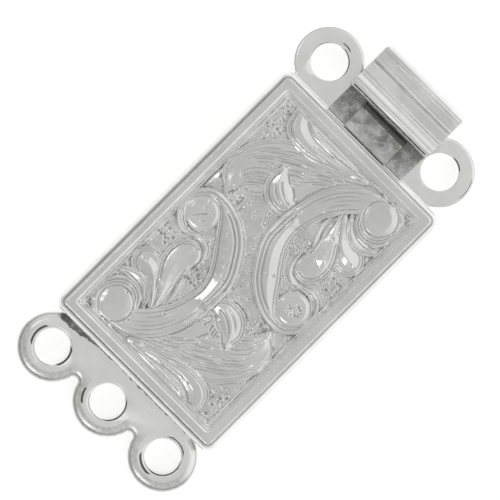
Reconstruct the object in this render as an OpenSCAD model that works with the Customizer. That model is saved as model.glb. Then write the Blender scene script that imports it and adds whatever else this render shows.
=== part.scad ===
// Three-strand box clasp with a scroll-work panel, closed, lying on its back.
// The long axis is X and the tongue enters from +X. Z = 0 is the underside of the back plate.
// The origin is under the middle of the box.

/* [Box] */
// Length of the box along the strands
box_l = 18.6; // [15:0.2:26]
// Width of the box across the strands
box_w = 12.2; // [11:0.2:16]
// Height of the box from its underside to the top of its rim
box_h = 3.3; // [3.1:0.1:4.5]
// Thickness of the side walls
wall_t = 0.5; // [0.35:0.05:0.8]
// Radius of the box's upright corners
corner_r = 0.6; // [0.5:0.05:1]
// Radius of the shoulder where wall turns into rim
shoulder_r = 0.5; // [0.2:0.05:0.5]

/* [Panel] */
// Width of the flat rim between shoulder and recess
rim_w = 0.4; // [0.2:0.05:0.6]
// Width of the sloping wall of the recess, seen from above
recess_slope = 0.25; // [0.05:0.05:0.3]
// Radius of the recess's corners, seen from above
recess_corner_r = 0.15; // [0.05:0.05:0.4]
// Depth of the recess below the rim
recess_d = 0.45; // [0.3:0.05:0.6]
// Thickness of the panel under the relief
panel_t = 0.4; // [0.3:0.05:0.6]
// Height of the relief's crests above the panel
relief_h = 0.38; // [0.2:0.02:0.5]
// Width of the main scrolls' stems
scroll_w = 1.5; // [1:0.05:1.7]
// Width of a leaf finger at its fattest
leaf_w = 0.75; // [0.4:0.05:0.9]

/* [Ring plates] */
// Strands, and so rings at each end
strands = 3; // [2:1:3]
// Distance between neighbouring ring centres
ring_pitch = 4.4; // [4.3:0.1:4.8]
// Outer diameter of a ring
ring_d = 4; // [3.4:0.1:4.2]
// Hole in a ring of the back plate
back_hole_d = 2; // [1.4:0.1:2.2]
// Hole in a ring of the tongue
tongue_hole_d = 2.1; // [1.4:0.1:2.2]
// Box end to the line of ring centres, at the fixed end
back_reach = 1.9; // [1.7:0.05:3]
// Box end to the line of ring centres, at the tongue end
tongue_reach = 1.92; // [1.7:0.02:3]
// Thickness of the back plate and its rings
back_t = 0.8; // [0.6:0.05:1]
// Thickness of the tongue's ring plate
tongue_t = 0.7; // [0.5:0.05:0.8]
// Line of ring centres to the edge of the web between two rings
web_reach = 0.6; // [0.3:0.01:0.6]
// Radius of the notch in the web between two rings
notch_r = 0.3; // [0.26:0.01:0.4]
// How far the web stands in from the outer sides of the end rings
web_inset = 1.4; // [1:0.05:1.9]
// How far the tongue's ring plate is soldered off the middle line
ring_shift = 0.3; // [0:0.05:0.4]

/* [Tongue] */
// Width of the folded strip and its shoulders
strip_w = 5.8; // [4.6:0.1:7]
// Thickness of the folded strip
strip_t = 0.35; // [0.25:0.05:0.4]
// Inner radius of the fold
fold_r = 0.15; // [0.1:0.05:0.2]
// Length of the strip inside the box
tongue_in = 12.5; // [8:0.5:15]
// Width of the neck that passes the notch in the end wall
neck_w = 3.2; // [2.4:0.1:4]
// Metal left at the lower leaf's outer end beyond the hole that is drilled through it
end_metal = 0.4; // [0.3:0.05:0.8]
// How far below the shoulders the edge that they catch on lies
catch_d = 0.42; // [0.25:0.01:0.45]

/* [Thumb tab] */
// Length of the thumb tab along the strands
thumb_l = 3.2; // [2.6:0.05:4]
// Width of the thumb tab across the strands
thumb_w = 6; // [4:0.1:7]
// Thickness of the thumb tab between its ribs
thumb_t = 0.55; // [0.4:0.05:0.8]
// Box end to the near edge of the thumb tab
thumb_reach = 1.85; // [1.5:0.05:2.6]
// Height of the riser that carries the thumb tab on the neck
riser_h = 0.2; // [0.15:0.05:0.5]
// Radius of the rolled lip along the near edge
lip_r = 0.42; // [0.3:0.01:0.48]
// Radius at which the far edge turns down
brow_r = 0.5; // [0.3:0.05:0.8]
// Radius of a rib, and the height that it stands up
rib_r = 0.1; // [0.05:0.01:0.15]
// Near edge of the tab to its first rib
rib_reach = 1.25; // [1.1:0.05:1.4]
// Distance between the two ribs
rib_pitch = 0.77; // [0.4:0.01:0.8]
// Radius of the tab's corners, seen from above
thumb_corner_r = 0.35; // [0.1:0.05:0.6]

/* [Clearances] */
// Under and over what slides in the box
slide_gap = 0.06; // [0.04:0.01:0.1]
// Each side of the strip and the neck in their slots
slot_gap = 0.12; // [0.08:0.01:0.2]
// Between the box's end and the tongue's ring plate, and between shoulders and wall
end_gap = 0.08; // [0.05:0.01:0.15]

/* [Hidden] */
// Overshoot of cutters
eps = 0.02;
end_x = box_l / 2;
wall_h = box_h - back_t;
// Recess at the rim and at its floor
recess_l = box_l - 2 * (shoulder_r + rim_w);
recess_w = box_w - 2 * (shoulder_r + rim_w);
panel_l = recess_l - 2 * recess_slope;
panel_w = recess_w - 2 * recess_slope;
floor_z = box_h - recess_d;
ceiling_z = floor_z - panel_t;
// Lower leaf, fold and sprung leaf
strip_z = back_t + slide_gap;
fold_out = fold_r + strip_t;
fold_z = strip_z + fold_out;
fold_x = end_x - tongue_in;
// Distances from the fold's axis along the leaf: to the shoulders, to the tab and to the riser
shoulder_at = tongue_in - wall_t - end_gap;
thumb_at = tongue_in + thumb_reach;
riser_at = thumb_at - strip_t / 2;
// The sprung leaf rises until the neck's top is just under the panel at the end wall
spring_angle = asin((ceiling_z - slide_gap - fold_z) / norm([tongue_in, fold_out])) - atan(fold_out / tongue_in);
shoulder_z = fold_z + fold_out * cos(spring_angle) + shoulder_at * sin(spring_angle);
catch_z = shoulder_z - catch_d;
// The lower leaf ends on the ring plate
strip_end = end_x + tongue_reach + tongue_hole_d / 2 + end_metal;
ring_span = (strands - 1) * ring_pitch;

half_panel = [panel_l / 2, panel_w / 2];
// The scroll-work is one half, and the same half turned about the panel's middle. A row is a stroke:
// start, first handle, second handle, end (as shares of the panel's half length and half width),
// then its width at the start, the middle and the end (as shares of a stem or of a leaf finger).
STEMS = [
    // from the top of the outer volute round its left side, down and along to the middle
    [[-0.73, 0.68], [-0.72, 0.98], [-0.94, 0.98], [-0.95, 0.74], 0.2, 0.3, 0.25],
    [[-0.95, 0.74], [-0.98, 0.42], [-0.72, 0.10], [-0.40, 0.05], 0.25, 0.9, 1],
    // from the middle up, and over the inner volute
    [[-0.40, 0.05], [-0.18, 0.01], [0.17, 0.30], [0.12, 0.66], 1, 1.05, 0.7],
    [[0.12, 0.66], [0.12, 0.98], [-0.12, 1.00], [-0.125, 0.72], 0.7, 0.35, 0.2],
];
LEAVES = [
    // the fan that springs from under the great scroll and opens along the long side
    [[-0.95, 0.30], [-0.80, -0.02], [-0.62, -0.14], [-0.42, -0.16], 0.4, 0.8, 0.6],
    [[-0.92, 0.16], [-0.72, -0.14], [-0.56, -0.34], [-0.36, -0.46], 0.4, 1, 0.6],
    [[-0.93, 0.08], [-0.80, -0.26], [-0.60, -0.56], [-0.28, -0.70], 0.5, 1.3, 0.7],
    [[-0.93, 0.02], [-0.82, -0.38], [-0.66, -0.74], [-0.38, -0.88], 0.5, 1.2, 0.6],
    [[-0.93, -0.06], [-0.84, -0.44], [-0.76, -0.76], [-0.58, -0.90], 0.5, 1, 0.5],
    // the small leaf that curls over between the fan and the middle
    [[-0.50, -0.22], [-0.34, -0.16], [-0.27, -0.36], [-0.33, -0.58], 0.5, 1, 0.4],
    // the pair in the corner
    [[-0.95, -0.14], [-0.88, -0.36], [-0.86, -0.62], [-0.94, -0.86], 0.4, 0.8, 0.4],
    [[-0.88, -0.34], [-0.77, -0.52], [-0.78, -0.78], [-0.88, -0.92], 0.4, 0.8, 0.4],
    // the lobed leaf inside the great scroll
    [[-0.68, 0.42], [-0.61, 0.52], [-0.64, 0.70], [-0.60, 0.88], 0.5, 0.9, 0.5],
    [[-0.62, 0.34], [-0.46, 0.44], [-0.52, 0.70], [-0.43, 0.88], 0.6, 1.5, 0.9],
    [[-0.50, 0.28], [-0.36, 0.34], [-0.34, 0.54], [-0.24, 0.64], 0.6, 1.4, 0.9],
    [[-0.40, 0.25], [-0.30, 0.27], [-0.24, 0.34], [-0.18, 0.42], 0.5, 0.8, 0.5],
];
// Volutes: centre, and radius as a share of a stem's width
VOLUTES = [[[-0.84, 0.70], 0.5], [[0.00, 0.72], 0.47]];
STROKE_STEPS = 7;
// A stroke's cross-section: height of its flank as a share of the relief's height, then its width at
// the flank's top, at the foot of the crest and at the crest's top as shares of the stroke's width
FLANK_H = 0.55;
FLANK_W = 0.8;
CREST_FOOT_W = 0.9;
CREST_W = 0.3;
SHOULDER_STEPS = 5;

// A point on a cubic curve
function curve(p, t) =
    pow(1 - t, 3) * p[0] + 3 * pow(1 - t, 2) * t * p[1] + 3 * (1 - t) * t * t * p[2] + t * t * t * p[3];
// A stroke's width, swelling from the start to the middle and falling to the end
function swell(row, t) =
    t < 0.5 ? row[4] + (row[5] - row[4]) * sin(180 * t) : row[6] + (row[5] - row[6]) * sin(180 * t);
function on_panel(p) = [p[0] * half_panel[0], p[1] * half_panel[1], floor_z];

// A flat slab with rounded upright corners, standing on Z = 0
module slab(l, w, h, r) {
    linear_extrude(h) offset(r = r, $fn = 32) square([l - 2 * r, w - 2 * r], center = true);
}

// One domed step of the relief, sunk a little into the panel
module bead(w) {
    translate([0, 0, -eps]) cylinder(h = relief_h * FLANK_H + eps, d1 = w, d2 = w * FLANK_W, $fn = 8);
    cylinder(h = relief_h, d1 = w * CREST_FOOT_W, d2 = w * CREST_W, $fn = 8);
}

module stroke(row, full_w) {
    for (i = [0:STROKE_STEPS - 1]) hull() for (t = [i, i + 1] / STROKE_STEPS)
        translate(on_panel(curve(row, t))) bead(full_w * swell(row, t));
}

module relief_half() {
    for (row = STEMS) stroke(row, scroll_w);
    for (row = LEAVES) stroke(row, leaf_w);
    for (v = VOLUTES) translate(on_panel(v[0])) hull() bead(2 * v[1] * scroll_w);
}

// The shell's outside: upright walls, rounded corners and a rounded shoulder
module cover_outside() {
    hull() for (x = [-1, 1], y = [-1, 1])
        translate([x * (box_l / 2 - corner_r), y * (box_w / 2 - corner_r), back_t]) {
            cylinder(h = wall_h - shoulder_r, r = corner_r, $fn = 32);
            for (a = [0:90 / SHOULDER_STEPS:90]) translate([0, 0, wall_h - shoulder_r * (1 - sin(a)) - eps])
                cylinder(h = eps, r = corner_r - shoulder_r * (1 - cos(a)), $fn = 32);
        }
}

module recess() {
    hull() {
        translate([0, 0, floor_z]) slab(panel_l, panel_w, eps, recess_corner_r);
        translate([0, 0, box_h]) slab(recess_l, recess_w, eps, recess_corner_r);
    }
}

// Through the end wall: a low slot as wide as the strip, and a notch above it for the neck
module tongue_slot() {
    slot_w = strip_w + 2 * slot_gap;
    notch_w = neck_w + 2 * slot_gap;
    translate([end_x - wall_t - eps, -slot_w / 2, back_t - eps])
        cube([wall_t + 2 * eps, slot_w, catch_z - back_t + eps]);
    translate([end_x - wall_t - eps, -notch_w / 2, back_t - eps])
        cube([wall_t + 2 * eps, notch_w, ceiling_z - back_t + eps]);
}

module cover() {
    color("silver") {
        difference() {
            cover_outside();
            translate([0, 0, back_t - eps])
                slab(box_l - 2 * wall_t, box_w - 2 * wall_t, ceiling_z - back_t + eps, corner_r / 2);
            recess();
            tongue_slot();
        }
        for (a = [0, 180]) rotate(a) relief_half();
    }
}

// Rings in a row across the strands, webbed to an edge on the -X side, where the rings end too.
// The line of ring centres is X = 0, and the plate stands on Z = 0.
module ring_row(reach, t) {
    web_w = ring_span + ring_d - 2 * web_inset;
    difference() {
        union() {
            difference() {
                translate([-reach, -web_w / 2, 0]) cube([reach + web_reach, web_w, t]);
                for (i = [0:strands - 2])
                    translate([web_reach, (i + 0.5) * ring_pitch - ring_span / 2, -eps])
                        cylinder(h = t + 2 * eps, r = notch_r, $fn = 48);
            }
            for (i = [0:strands - 1]) translate([0, i * ring_pitch - ring_span / 2, 0])
                cylinder(h = t, d = ring_d, $fn = 96);
        }
        translate([-reach - ring_d, -ring_span / 2 - ring_d, -eps])
            cube([ring_d, ring_span + 2 * ring_d, t + 2 * eps]);
    }
}

// The drill for the ring holes
module ring_holes(t, hole_d) {
    for (i = [0:strands - 1]) translate([0, i * ring_pitch - ring_span / 2, -eps])
        cylinder(h = t + 2 * eps, d = hole_d, $fn = 96);
}

// Floor of the box, with the fixed rings
module back_plate() {
    color("silver") difference() {
        union() {
            slab(box_l, box_w, back_t, corner_r);
            translate([-end_x - back_reach, 0, 0]) rotate(180) ring_row(back_reach + corner_r, back_t);
        }
        translate([-end_x - back_reach, 0, 0]) ring_holes(back_t, back_hole_d);
    }
}

// The bend of the strip about the fold's axis, from its inner to its outer radius
module bend() {
    rotate([90, 0, 0]) difference() {
        cylinder(h = strip_w, r = fold_out, center = true, $fn = 64);
        cylinder(h = strip_w + 2 * eps, r = fold_r, center = true, $fn = 64);
    }
}

// Lower leaf of the strip, with the lower half of the fold, and the ring plate under its outer end.
// The ring holes go through both.
module tongue_plate() {
    color("gainsboro") difference() {
        union() {
            translate([fold_x, -strip_w / 2, strip_z]) cube([strip_end - fold_x, strip_w, strip_t]);
            translate([fold_x, 0, fold_z]) intersection() {
                bend();
                translate([-2 * fold_out, -strip_w, -2 * fold_out])
                    cube([2 * fold_out, 2 * strip_w, 2 * fold_out]);
            }
            translate([end_x + tongue_reach, ring_shift, strip_z - tongue_t])
                ring_row(tongue_reach - end_gap, tongue_t);
        }
        translate([end_x + tongue_reach, ring_shift, strip_z - tongue_t])
            ring_holes(tongue_t + strip_t, tongue_hole_d);
    }
}

// What follows the sprung leaf is placed from the fold's axis, with the leaf's slope
module on_leaf() {
    translate([fold_x, 0, fold_z]) rotate([0, -spring_angle, 0]) children();
}

// Upper half of the fold, the sprung leaf with its shoulders, the neck and its riser
module spring_leaf() {
    color("gainsboro") union() {
        on_leaf() {
            translate([0, -strip_w / 2, fold_r]) cube([shoulder_at, strip_w, strip_t]);
            translate([shoulder_at - eps, -neck_w / 2, fold_r])
                cube([riser_at + strip_t - shoulder_at + eps, neck_w, strip_t]);
            translate([riser_at, -neck_w / 2, fold_out - eps]) cube([strip_t, neck_w, riser_h + eps]);
        }
        translate([fold_x, 0, fold_z]) intersection() {
            bend();
            translate([-2 * fold_out, -strip_w, 0]) cube([2 * fold_out, 2 * strip_w, 2 * fold_out]);
            rotate([0, -spring_angle, 0]) translate([-2 * fold_out, -strip_w, -2 * fold_out])
                cube([2 * fold_out, 2 * strip_w, 4 * fold_out]);
        }
    }
}

// Points of an arc about a centre
function arc(x, y, r, from, to, steps) =
    [for (i = [0:steps]) let (a = from + (to - from) * i / steps) [x + r * cos(a), y + r * sin(a)]];

// Side view of the thumb tab: rolled lip, two ribs and a brow that turns down
module thumb_profile() {
    brow_end = asin(max(0, brow_r - thumb_t) / brow_r);
    polygon(concat(
        arc(lip_r, lip_r, lip_r, 270, 90, 8),
        [for (x = [rib_reach, rib_reach + rib_pitch]) each arc(x, thumb_t, rib_r, 180, 0, 4)],
        arc(thumb_l - brow_r, thumb_t - brow_r, brow_r, 90, brow_end, 5),
        brow_r < thumb_t ? [[thumb_l, 0]] : []
    ));
}

module thumb_tab() {
    color("silver") on_leaf() translate([thumb_at, 0, fold_out + riser_h]) intersection() {
        translate([0, thumb_w / 2, 0]) rotate([90, 0, 0]) linear_extrude(thumb_w) thumb_profile();
        translate([thumb_l / 2, 0, -eps]) slab(thumb_l, thumb_w, thumb_t + 2 * lip_r, thumb_corner_r);
    }
}

cover();
back_plate();
tongue_plate();
spring_leaf();
thumb_tab();
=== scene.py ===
import math

import bpy
import numpy as np
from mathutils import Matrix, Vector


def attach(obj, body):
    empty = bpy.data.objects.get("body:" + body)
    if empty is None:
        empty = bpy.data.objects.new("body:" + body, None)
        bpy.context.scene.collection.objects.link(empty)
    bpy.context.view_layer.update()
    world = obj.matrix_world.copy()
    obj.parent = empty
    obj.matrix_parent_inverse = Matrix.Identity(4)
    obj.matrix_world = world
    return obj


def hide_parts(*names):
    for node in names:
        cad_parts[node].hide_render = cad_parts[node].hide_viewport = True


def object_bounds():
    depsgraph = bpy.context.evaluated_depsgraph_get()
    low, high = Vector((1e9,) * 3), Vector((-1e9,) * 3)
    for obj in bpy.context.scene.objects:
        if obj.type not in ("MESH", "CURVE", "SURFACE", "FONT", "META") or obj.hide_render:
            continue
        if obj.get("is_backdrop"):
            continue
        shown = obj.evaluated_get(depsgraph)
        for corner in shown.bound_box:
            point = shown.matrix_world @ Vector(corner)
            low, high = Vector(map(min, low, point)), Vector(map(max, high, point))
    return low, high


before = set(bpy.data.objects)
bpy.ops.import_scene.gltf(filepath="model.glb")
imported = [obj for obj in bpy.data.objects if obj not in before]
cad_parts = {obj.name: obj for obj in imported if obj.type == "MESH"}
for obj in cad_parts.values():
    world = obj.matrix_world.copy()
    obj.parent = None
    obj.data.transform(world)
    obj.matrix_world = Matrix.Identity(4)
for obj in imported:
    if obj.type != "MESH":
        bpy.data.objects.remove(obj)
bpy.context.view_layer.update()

# Floor of the box with the three fixed rings: one plate stamped from 0.8 mm brass, its ring end
# tumbled until the outline rolls over softly, the holes punched and countersunk a little, and
# the whole plated silver. The shell is soldered on top of it.

MM = 0.001  # pieces are drawn in millimetres, and brought to metres when they are finished


def take(piece):
    """Selects one piece alone, for the tool that comes next."""
    bpy.ops.object.select_all(action="DESELECT")
    piece.select_set(True)
    bpy.context.view_layer.objects.active = piece


def settle(piece):
    """Writes a piece's place, turn and size into its mesh."""
    take(piece)
    bpy.ops.object.transform_apply(location=True, rotation=True, scale=True)
    return piece


def block(low, high):
    """A block between two corners."""
    bpy.ops.object.select_all(action="DESELECT")
    middle = [(a + b) / 2 for a, b in zip(low, high)]
    bpy.ops.mesh.primitive_cube_add(size=1, location=middle, scale=[b - a for a, b in zip(low, high)])
    return settle(bpy.context.object)


def work(piece, tool, operation):
    """Solders the tool's solid on, or cuts it away."""
    step = piece.modifiers.new(operation.lower(), "BOOLEAN")
    step.operation = operation
    step.solver = "EXACT"
    step.object = tool
    bpy.context.view_layer.objects.active = piece
    bpy.ops.object.modifier_apply(modifier=step.name)
    bpy.data.objects.remove(tool)


def pick(piece, kind, wanted):
    """Goes into edit mode with the edges or faces selected that the test accepts by place and direction."""
    take(piece)
    bpy.ops.object.mode_set(mode="EDIT")
    bpy.ops.mesh.select_mode(type=kind)
    bpy.ops.mesh.select_all(action="DESELECT")
    bpy.ops.object.mode_set(mode="OBJECT")
    points = piece.data.vertices
    if kind == "EDGE":
        for edge in piece.data.edges:
            a, b = (points[i].co for i in edge.vertices)
            edge.select = bool(wanted((a + b) / 2, (b - a).normalized()))
    else:
        for face in piece.data.polygons:
            face.select = bool(wanted(face.center, face.normal))
    bpy.ops.object.mode_set(mode="EDIT")


def round_over(piece, wanted, width, steps):
    """Rounds the edges that the test accepts."""
    pick(piece, "EDGE", wanted)
    bpy.ops.mesh.bevel(offset=width, segments=steps, affect="EDGES", clamp_overlap=False)
    bpy.ops.object.mode_set(mode="OBJECT")


def upright(middle, along):
    """Picks upright edges."""
    return abs(along.z) > 0.9


def is_level(along):
    """Whether an edge lies level."""
    return abs(along.z) < 0.01


def face_outwards(piece):
    """Turns every face of a closed piece outwards."""
    pick(piece, "FACE", lambda middle, normal: True)
    bpy.ops.mesh.normals_make_consistent(inside=False)
    bpy.ops.object.mode_set(mode="OBJECT")


def finish_piece(piece, name, body, angle=35, evened=True):
    """Brings a finished piece to metres, shades it and lets it ride on its body."""
    piece.name = piece.data.name = name
    piece.scale = (MM, MM, MM)
    settle(piece)
    bpy.ops.object.shade_smooth_by_angle(angle=math.radians(angle))
    if evened:
        even = piece.modifiers.new("even", "WEIGHTED_NORMAL")
        even.keep_sharp = even.use_face_influence = True
        bpy.ops.object.modifier_apply(modifier=even.name)
    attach(piece, body)


def swing(x, y, radius, start, end, steps):
    """Points on an arc, angles in degrees."""
    turn = [math.radians(start + (end - start) * i / steps) for i in range(steps + 1)]
    return [(x + radius * math.cos(a), y + radius * math.sin(a)) for a in turn]


def stamped(outline, low, high, roll, drop, steps):
    """A blank of the outline. Both faces roll down over that width, by that drop, to an upright side."""
    half = (high - low) / 2
    straight = max(half - roll, 0.02)
    drawn = bpy.data.curves.new("outline", "CURVE")
    drawn.dimensions, drawn.fill_mode = "2D", "BOTH"
    drawn.extrude, drawn.bevel_depth, drawn.bevel_resolution, drawn.offset = straight, roll, steps, -roll
    line = drawn.splines.new("POLY")
    line.points.add(len(outline) - 1)
    for point, (x, y) in zip(line.points, outline):
        point.co = (x, y, 0, 1)
    line.use_cyclic_u = True
    blank = bpy.data.objects.new("blank", drawn)
    bpy.context.scene.collection.objects.link(blank)
    take(blank)
    bpy.ops.object.convert(target="MESH")
    for point in blank.data.vertices:
        share = abs(point.co.z) / (straight + roll)
        point.co.z = math.copysign(half - drop * (1 - share), point.co.z)
    blank.location = (0, 0, (low + high) / 2)
    settle(blank)
    pick(blank, "FACE", lambda middle, normal: True)
    bpy.ops.mesh.remove_doubles(threshold=0.0005)
    bpy.ops.object.mode_set(mode="OBJECT")
    face_outwards(blank)
    return blank


def drill(x, y, low, high, radius, flare, steps=4):
    """A drill that flares at both faces, so that the rims of its hole come out rounded."""
    turn = [math.radians(90 * i / steps) for i in range(steps + 1)]
    levels = [(low - 0.2, radius + flare)]
    levels += [(low + flare * (1 - math.cos(a)), radius + flare * (1 - math.sin(a))) for a in turn]
    levels += [(low + high - z, r) for z, r in levels[::-1]]
    bpy.ops.object.select_all(action="DESELECT")
    bpy.ops.mesh.primitive_circle_add(
        vertices=96, radius=levels[0][1], fill_type="NGON", location=(x, y, levels[0][0])
    )
    tool = settle(bpy.context.object)
    bpy.ops.object.mode_set(mode="EDIT")
    bpy.ops.mesh.select_all(action="SELECT")
    for (z0, r0), (z1, r1) in zip(levels, levels[1:]):
        bpy.ops.mesh.extrude_region_move(TRANSFORM_OT_translate={"value": (0, 0, z1 - z0)})
        bpy.ops.transform.resize(value=(r1 / r0, r1 / r0, 1), center_override=(x, y, z1))
    bpy.ops.object.mode_set(mode="OBJECT")
    face_outwards(tool)
    return tool


ring_r, ring_pitch = 2.0, 4.4
ring_ys = (ring_pitch, 0.0, -ring_pitch)
nick_r, nick_out, nick_meets = 0.3, 0.6, 74.7  # the nick between two rings, and the angle where they meet


def ring_row(place, shift, outward, leaves, steps, back, half):
    """The outline of a plate's end: three rings in a row, joined by small nicks, the middle one at place and
    shift. They face outward (1 or -1) in X, the outer two run into the plate at the angle leaves, and its
    corners lie back and half away."""
    row = [(-back, half)] + swing(0, ring_pitch, ring_r, leaves, -nick_meets, steps)
    for nick_y, ring_y, end, points in (
        (ring_pitch / 2, 0, -nick_meets, 40), (-ring_pitch / 2, -ring_pitch, -leaves, steps)
    ):
        row += swing(nick_out, nick_y, nick_r, 180 - nick_meets, 180 + nick_meets, 16)[1:]
        row += swing(0, ring_y, ring_r, nick_meets, end, points)[1:]
    row.append((-back, -half))
    return [(place + outward * x, shift + y) for x, y in row]


end_x, side_y, corner_r, plate_t = 9.3, 6.1, 0.6, 0.8
fixed_x, fixed_hole_r = -11.2, 1.0

fixed_outline = ring_row(fixed_x, shift=0, outward=-1, leaves=162.5, steps=62, back=2.4, half=5.0)[::-1]
back = stamped(fixed_outline, 0, plate_t, roll=0.55, drop=0.20, steps=8)
for y in ring_ys:
    work(back, drill(fixed_x, y, 0, plate_t, fixed_hole_r, flare=0.17, steps=5), "DIFFERENCE")
under_box = block((-end_x, -side_y, 0.001), (end_x, side_y, plate_t - 0.001))
round_over(under_box, upright, corner_r, 8)
round_over(under_box, lambda middle, along: is_level(along) and middle.z < 0.02, 0.06, 3)
work(back, under_box, "UNION")
finish_piece(back, "floor_plate_with_rings", "box")
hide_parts("back_plate")


class Level:
    """A value of a finish that changes over the metal: a node's output, with arithmetic."""

    def __init__(self, tree, socket):
        self.tree, self.socket = tree, socket

    def _math(self, operation, *values):
        return add(self.tree, "ShaderNodeMath", {"operation": operation}, dict(enumerate(values)))

    def __add__(self, other):
        return self._math("ADD", self, other)

    def __sub__(self, other):
        return self._math("SUBTRACT", self, other)

    def __rsub__(self, other):
        return self._math("SUBTRACT", other, self)

    def __mul__(self, other):
        return self._math("MULTIPLY", self, other)

    def __pow__(self, other):
        return self._math("POWER", self, other)

    __radd__, __rmul__ = __add__, __mul__

    def ramp(self, low, high, first=0.0, last=1.0):
        """Runs from first to last while the value goes from low to high."""
        return add(
            self.tree, "ShaderNodeMapRange", {"clamp": True, "interpolation_type": "SMOOTHSTEP"},
            {0: self, 1: low, 2: high, 3: first, 4: last},
        )


def add(tree, kind, settings=None, inputs=None, output=0):
    """Adds a node, sets it, joins its inputs and gives back one of its outputs, where it has any."""
    node = tree.nodes.new(kind)
    for key, value in (settings or {}).items():
        setattr(node, key, value)
    for key, value in (inputs or {}).items():
        if isinstance(value, Level):
            tree.links.new(value.socket, node.inputs[key])
        else:
            node.inputs[key].default_value = value
    return Level(tree, node.outputs[output]) if node.outputs else None


def noise(tree, place, scale, detail, roughness=0.6, **more):
    """A cloudy value over the place, more finely broken up the higher its detail and roughness are."""
    inputs = {"Vector": place, "Scale": scale, "Detail": detail, "Roughness": roughness, **more}
    return add(tree, "ShaderNodeTexNoise", None, inputs)


def axes(tree, place):
    """The X, Y and Z of a place or a direction."""
    parts = add(tree, "ShaderNodeSeparateXYZ", None, {0: place})
    return [Level(tree, output) for output in parts.socket.node.outputs]


def plating(name, silver, shade, rough, peel, along=None):
    """Bright plating on brass: a slightly clouded colour, faint rubbing marks and a skin that isn't quite
    flat. along is the way that rolling or filing lines run, as the stretch of a noise in X, Y and Z."""
    material = bpy.data.materials.new(name)
    material.use_nodes = True
    tree = material.node_tree
    tree.nodes.clear()
    place = add(tree, "ShaderNodeTexCoord", output=3)
    cloud = noise(tree, place, 420, 4)
    rubbing = {"Vector": place, "Rotation": (0, 0, 0.9), "Scale": (9000, 260, 2600)}
    rub = noise(tree, add(tree, "ShaderNodeMapping", None, rubbing), 1.0, 2).ramp(0.60, 0.72)
    height = noise(tree, place, 1500, 2, 0.5) * peel + rub * -0.10
    if along:
        drawn = add(tree, "ShaderNodeMapping", None, {"Vector": place, "Scale": along})
        height = height + noise(tree, drawn, 1.0, 3, 0.55) * 0.45
    bump = add(tree, "ShaderNodeBump", None, {"Strength": 1.0, "Distance": 0.0000045, "Height": height})
    tones = {0: cloud.ramp(0.35, 0.65), 6: (*shade, 1), 7: (*silver, 1)}
    colour = add(tree, "ShaderNodeMix", {"data_type": "RGBA"}, tones, output=2)
    roughness = cloud.ramp(0.3, 0.7, rough * 0.8, rough * 1.15) + rub * 0.05
    shader = add(
        tree, "ShaderNodeBsdfPrincipled", None,
        {"Base Color": colour, "Metallic": 1.0, "Roughness": roughness, "Normal": bump},
    )
    add(tree, "ShaderNodeOutputMaterial", None, {"Surface": shader})
    return material


def darken_finish(material, darkening, colour=(0.06, 0.06, 0.055), rougher=0.12):
    """Mixes a darker colour into a finish where darkening is 1, and dulls it there; used for painted shade
    and real tone.
    """
    tree = material.node_tree
    shader = next(n for n in tree.nodes if n.type == "BSDF_PRINCIPLED")
    plain = Level(tree, shader.inputs["Base Color"].links[0].from_socket)
    rough = Level(tree, shader.inputs["Roughness"].links[0].from_socket)
    dark_mix = {0: darkening, 6: plain, 7: (*colour, 1)}
    mixed = add(tree, "ShaderNodeMix", {"data_type": "RGBA", "clamp_factor": True}, dark_mix, output=2)
    tree.links.new(mixed.socket, shader.inputs["Base Color"])
    tree.links.new((rough + darkening * rougher).socket, shader.inputs["Roughness"])
    return material


def place_on(tree):
    """A point's place on the clasp, in millimetres along and across, and a fine grain to break up edges."""
    place = add(tree, "ShaderNodeTexCoord", output=3)
    x, y, _ = axes(tree, place)
    return x * 1000, y * 1000, noise(tree, place, 4200, 3) - 0.5


def painted_shade_at_holes(name, holes, seam=False):
    """Plating with dark crescents of painted shade at the holes' rims. Each hole has its place and radius,
    and for each crescent the way it faces, its gap from the rim, its breadth and the cosine where it ends.
    seam adds a painted shadow, the dark line against the shell, and painted shade on the plate's band round
    the rings, away from the holes."""
    material = plating(name, silver=(0.965, 0.97, 0.95), shade=(0.915, 0.92, 0.90), rough=0.19, peel=1.2)
    x, y, grain = place_on(material.node_tree)
    darkening = 0.0
    # painted shade: a darker band over the rings and their rolled edge, away from the holes' flats
    band = x.ramp(-11.6, -10.4, 0.34, 0.0) * (grain * 1.4 + 1) if seam else 0.0
    for cx, cy, radius, crescents in holes:
        away_x, away_y = x - cx, y - cy
        out = (away_x * away_x + away_y * away_y) ** 0.5
        band = band * out.ramp(1.38, 1.50)
        # painted shade: a dark crescent at this hole's rim
        for ax, ay, gap, broad, from_cos in crescents:
            long = math.hypot(ax, ay)
            facing = (away_x * (ax / long) + away_y * (ay / long)) * out ** -1
            taper = facing.ramp(from_cos, 1.0 - (1.0 - from_cos) * 0.35)
            inner, reach = out - radius - gap, taper * broad + grain * 0.05
            dark_mix = (reach - inner).ramp(-0.01, 0.02) * inner.ramp(-0.02, 0.01)
            darkening = darkening + dark_mix * taper.ramp(0.02, 0.12)
    if seam:
        # painted shadow: the dark line on the plate against the shell, broader by the outer ring
        broad = y.ramp(2.2, 4.7) * y.ramp(5.2, 5.6, 1.0, 0.0) * 0.40
        broad = broad + y.ramp(-3.3, -2.6) * y.ramp(3.6, 4.6, 1.0, 0.0) * 0.03
        beside = (x + (end_x + 0.07) + broad + grain * 0.3).ramp(0.0, 0.05)
        beside = beside * x.ramp(-end_x - 0.01, -end_x, 1.0, 0.0)
        darkening = darkening + beside * (grain * 0.7 + 0.76)
    return darken_finish(material, (darkening + band).ramp(0.0, 1.0, 0.0, 0.92))


# the crescents and the seam line given here are painted shade
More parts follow.
